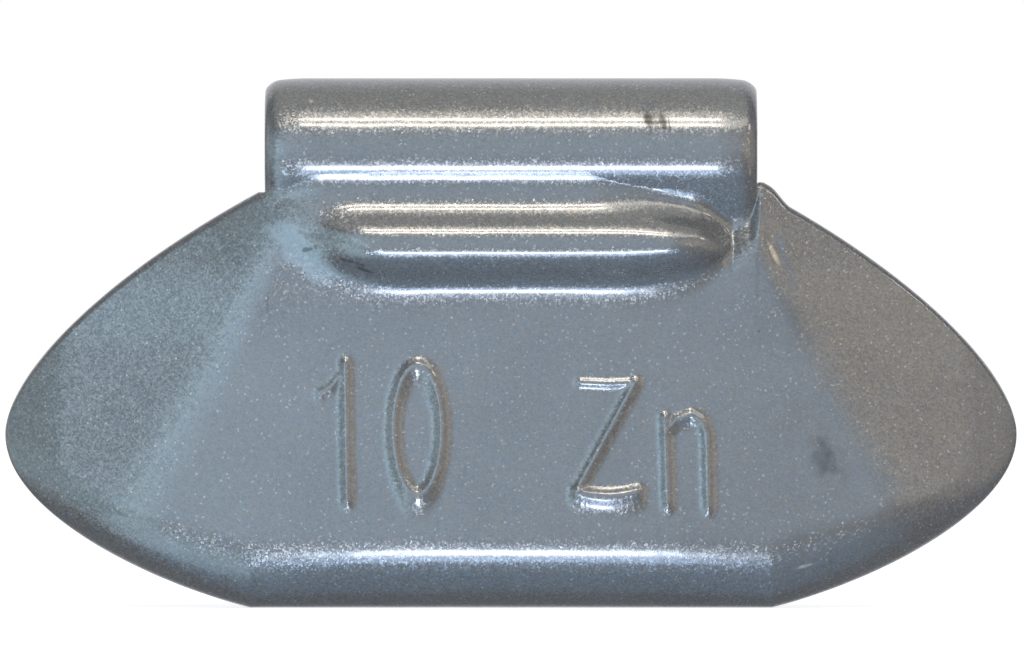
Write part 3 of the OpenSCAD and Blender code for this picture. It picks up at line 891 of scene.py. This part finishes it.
def clip_tree():
    """Sweeps a rounded strip along a curve, sinks its front towards the long edges and rounds the
    two corners at the curve's end."""
    tree = bpy.data.node_groups.new("rounded_strip", "GeometryNodeTree")
    sockets = tree.interface
    sockets.new_socket("Geometry", in_out="INPUT", socket_type="NodeSocketGeometry")
    for label, value in (("Width", CLIP_W), ("Thickness", CLIP_T), ("Edge radius", STRIP_EDGE_R),
                         ("Corner radius", TAIL_CORNER_R), ("Spacing", STRIP_SPACING),
                         ("Droop", DROOP_H), ("Droop from", DROOP_FROM)):
        socket = sockets.new_socket(label, in_out="INPUT", socket_type="NodeSocketFloat")
        socket.default_value = value * MM
    sockets.new_socket("Material", in_out="INPUT", socket_type="NodeSocketMaterial")
    sockets.new_socket("Geometry", in_out="OUTPUT", socket_type="NodeSocketGeometry")
    given, out = tree.nodes.new("NodeGroupInput"), tree.nodes.new("NodeGroupOutput")
    section = add(tree, "GeometryNodeCurvePrimitiveQuadrilateral", {
        "Width": given.outputs["Width"], "Height": given.outputs["Thickness"]}, mode="RECTANGLE")
    rounded = add(tree, "GeometryNodeFilletCurve", {
        "Curve": section.outputs[0], "Radius": given.outputs["Edge radius"],
        "Count": STRIP_EDGE_STEPS}, mode="POLY")
    even = add(tree, "GeometryNodeResampleCurve", {
        "Curve": rounded.outputs[0], "Length": given.outputs["Spacing"]}, mode="LENGTH")
    spline = add(tree, "GeometryNodeSplineParameter")
    length = add(tree, "GeometryNodeSplineLength")
    to_end = math_node(tree, "SUBTRACT", length.outputs["Length"], spline.outputs["Length"])
    keep = add(tree, "GeometryNodeStoreNamedAttribute", {
        "Geometry": given.outputs["Geometry"], "Name": "to_end", "Value": to_end},
        data_type="FLOAT", domain="POINT")
    sweep = add(tree, "GeometryNodeCurveToMesh", {
        "Curve": keep.outputs[0], "Profile Curve": even.outputs[0], "Fill Caps": True})
    end = add(tree, "GeometryNodeInputNamedAttribute", {"Name": "to_end"}, data_type="FLOAT")
    corner = given.outputs["Corner radius"]
    share = math_node(tree, "DIVIDE", end.outputs["Attribute"], corner)
    share = math_node(tree, "MAXIMUM", math_node(tree, "SUBTRACT", 1.0, share), 0.0)
    rest = math_node(tree, "SUBTRACT", 1.0, math_node(tree, "MULTIPLY", share, share))
    root = math_node(tree, "SQRT", rest)
    narrow = math_node(tree, "MULTIPLY", math_node(tree, "SUBTRACT", 1.0, root), corner)
    place = add(tree, "GeometryNodeInputPosition").outputs[0]
    x = add(tree, "ShaderNodeSeparateXYZ", {0: place}).outputs[0]
    side = math_node(tree, "SIGN", x)
    span = math_node(tree, "DIVIDE", math_node(tree, "ABSOLUTE", x), given.outputs["Width"])
    inwards = math_node(tree, "MULTIPLY", side, narrow)
    move = math_node(tree, "MULTIPLY", inwards, math_node(tree, "MULTIPLY", span, -2.0))
    offset = add(tree, "ShaderNodeCombineXYZ", {"X": move}).outputs[0]
    half_width = math_node(tree, "MULTIPLY", given.outputs["Width"], 0.5)
    reach = math_node(tree, "SUBTRACT", half_width, given.outputs["Droop from"])
    past = math_node(tree, "SUBTRACT", math_node(tree, "ABSOLUTE", x), given.outputs["Droop from"])
    past = math_node(tree, "MAXIMUM", math_node(tree, "DIVIDE", past, reach), 0.0)
    sink = math_node(tree, "MULTIPLY", math_node(tree, "MULTIPLY", past, past), given.outputs["Droop"])
    normal = add(tree, "GeometryNodeInputNormal").outputs["Normal"]
    normal = vector_node(tree, "MULTIPLY", normal, (0, 1, 1))
    outward = vector_node(tree, "DOT_PRODUCT", place, normal)
    outer = map_node(tree, outward, 0, DROOP_OUTWARD * MM, 0, -1)
    sunk = vector_node(tree, "SCALE", normal, scale=math_node(tree, "MULTIPLY", sink, outer))
    offset = vector_node(tree, "ADD", offset, sunk)
    shift = add(tree, "GeometryNodeSetPosition", {"Geometry": sweep.outputs[0], "Offset": offset})
    real = add(tree, "GeometryNodeRealizeInstances", {"Geometry": shift.outputs[0]})
    dress = add(tree, "GeometryNodeSetMaterial", {
        "Geometry": real.outputs[0], "Material": given.outputs["Material"]})
    tree.links.new(dress.outputs[0], out.inputs[0])
    return tree


def made_by_nodes(name, source, tree, values):
    """Runs a geometry node tree on an object's data and keeps the result as a plain mesh."""
    modifier = source.modifiers.new("shape", "NODES")
    modifier.node_group = tree
    for item in tree.interface.items_tree:
        if item.item_type == "SOCKET" and item.in_out == "INPUT" and item.name in values:
            modifier[item.identifier] = values[item.name]
    bpy.context.view_layer.update()
    evaluated = source.evaluated_get(bpy.context.evaluated_depsgraph_get())
    mesh = bpy.data.meshes.new_from_object(evaluated)
    mesh.name = name
    source.modifiers.remove(modifier)
    bpy.data.objects.remove(source)
    obj = bpy.data.objects.new(name, mesh)
    bpy.context.scene.collection.objects.link(obj)
    return obj


curve = bpy.data.curves.new("clip_path", "CURVE")
curve.dimensions = "3D"
points = clip_path()
spline = curve.splines.new("POLY")
spline.points.add(len(points) - 1)
for point, (y, z) in zip(spline.points, points):
    point.co = (0, y * MM, z * MM, 1)
curve.twist_mode = "MINIMUM"
path = bpy.data.objects.new("clip_path", curve)
bpy.context.scene.collection.objects.link(path)
clip = made_by_nodes("spring_strip", path, clip_tree(), {
    "Width": CLIP_W * MM, "Thickness": CLIP_T * MM, "Edge radius": STRIP_EDGE_R * MM,
    "Corner radius": TAIL_CORNER_R * MM, "Spacing": STRIP_SPACING * MM, "Droop": DROOP_H * MM,
    "Droop from": DROOP_FROM * MM, "Material": PAINT_ON_STEEL})
finish_piece(clip, "spring_clip", PAINT_ON_STEEL)

# Floor: pale, with the object's shadow, plain white towards the camera
FLOOR_REACH = 3.0
FLOOR_GLOW = 0.7
corners = [(-1, -1), (1, -1), (1, 1), (-1, 1)]
corners = [(x * FLOOR_REACH, y * FLOOR_REACH, cad_low.z) for x, y in corners]
floor_mesh = bpy.data.meshes.new("floor")
floor_mesh.from_pydata(corners, [], [(0, 1, 2, 3)])
floor = bpy.data.objects.new("floor", floor_mesh)
bpy.context.scene.collection.objects.link(floor)
floor.visible_glossy = False
floor.visible_shadow = False
floor_paint = bpy.data.materials.new("floor")
floor_paint.use_nodes = True
tree = floor_paint.node_tree
shader = tree.nodes["Principled BSDF"]
shader.inputs["Base Color"].default_value = (0.8, 0.8, 0.8, 1)
shader.inputs["Roughness"].default_value = 1.0
shader.inputs["Specular IOR Level"].default_value = 0.0
shader.inputs["Emission Color"].default_value = (1, 1, 1, 1)
seen = add(tree, "ShaderNodeLightPath").outputs["Is Camera Ray"]
tree.links.new(math_node(tree, "MULTIPLY", seen, FLOOR_GLOW), shader.inputs["Emission Strength"])
floor_mesh.materials.append(floor_paint)


# Light: warm tubes and a glow above, a warm window at the right, cool strips below, a soft room around
LIGHT_AIM = Vector((0, 0, -0.006))
LIGHT_DISTANCE = 0.4
TUBE_COLOUR = (1.0, 0.92, 0.81)
SIDE_COLOUR = (1.0, 0.93, 0.82)


def panel(name, elevation, azimuth, width, height, colour, radiance):
    """A light that faces the object, from a direction in degrees, with its sides in metres."""
    data = bpy.data.lights.new(name, "AREA")
    data.shape = "RECTANGLE"
    data.size = width
    data.size_y = height
    data.color = colour
    data.energy = radiance * math.pi * width * height
    lamp = bpy.data.objects.new(name, data)
    e, a = math.radians(elevation), math.radians(azimuth)
    way = Vector((math.sin(a) * math.cos(e), -math.cos(a) * math.cos(e), math.sin(e)))
    lamp.location = LIGHT_AIM + way * LIGHT_DISTANCE
    lamp.rotation_mode = "QUATERNION"
    lamp.rotation_quaternion = (-way).to_track_quat("-Z", "Y")
    lamp.visible_camera = False
    bpy.context.scene.collection.objects.link(lamp)
    return lamp


panel("upper_tube_near", 39.4, 0, 0.08, 0.031, TUBE_COLOUR, 13.0)
panel("upper_tube_far", 49.0, 0, 0.08, 0.031, TUBE_COLOUR, 13.0)
panel("upper_glow", 57.0, 0, 0.1, 0.07, (1.0, 0.9, 0.78), 1.6)
panel("upper_tube_side", 42.0, 32, 0.3, 0.08, SIDE_COLOUR, 1.8)
panel("side_window", 28.0, 64, 0.06, 0.045, SIDE_COLOUR, 6.0)
panel("lower_strip", -31.0, 0, 0.06, 0.045, (0.84, 0.91, 1.0), 15.0)
panel("lower_haze", -36.0, 0, 0.075, 0.1, (0.5, 0.68, 1.0), 4.0)
panel("lower_fade", -24.0, 0, 0.075, 0.05, (0.6, 0.72, 1.0), 1.2)

world = bpy.data.worlds.new("room")
bpy.context.scene.world = world
world.use_nodes = True
tree = world.node_tree
tree.nodes.clear()
way = add(tree, "ShaderNodeTexCoord").outputs["Generated"]
ROOM = (0.2, 0.205, 0.22, 1)

# Soft glows in the room: azimuth, elevation, outer and inner angle in degrees, and colour
LOBES = [
    (-13, 5, 37, 12, (0.54, 0.71, 0.89)),
    (-18, 0, 16, 4, (0.18, 0.3, 0.38)),
    (-42, -3, 34, 8, (0.26, 0.44, 0.52)),
    (-38, -38, 26, 8, (0.6, 0.86, 1.0)),
    (35, 5, 25, 8, (0.47, 0.42, 0.34)),
    (50, 0, 45, 10, (0.18, 0.13, 0.09)),
    (68, 0, 28, 12, (0.06, 0.06, 0.06)),
    (80, 0, 34, 12, (0.16, 0.14, 0.12)),
    (-85, 0, 34, 10, (0.35, 0.42, 0.45)),
    (0, -62, 42, 12, (0.08, 0.18, 0.3)),
    (0, 72, 50, 20, (0.38, 0.37, 0.33)),
    (180, 20, 60, 30, (0.5, 0.5, 0.52)),
]
room = ROOM
for azimuth, elevation, outer, inner, colour in LOBES:
    e, a = math.radians(elevation), math.radians(azimuth)
    axis = (math.sin(a) * math.cos(e), -math.cos(a) * math.cos(e), math.sin(e))
    near = vector_node(tree, "DOT_PRODUCT", way, axis)
    share = map_node(tree, near, math.cos(math.radians(outer)), math.cos(math.radians(inner)), 0, 1)
    lobe = mix_colour(tree, share, (0, 0, 0, 1), (*colour, 1))
    room = mix_colour(tree, 1.0, room, lobe, "ADD")
seen = add(tree, "ShaderNodeLightPath").outputs["Is Camera Ray"]
shown = mix_colour(tree, seen, room, (1, 1, 1, 1))
background = add(tree, "ShaderNodeBackground", {"Color": shown, "Strength": 1.0})
add(tree, "ShaderNodeOutputWorld", {"Surface": background.outputs[0]})
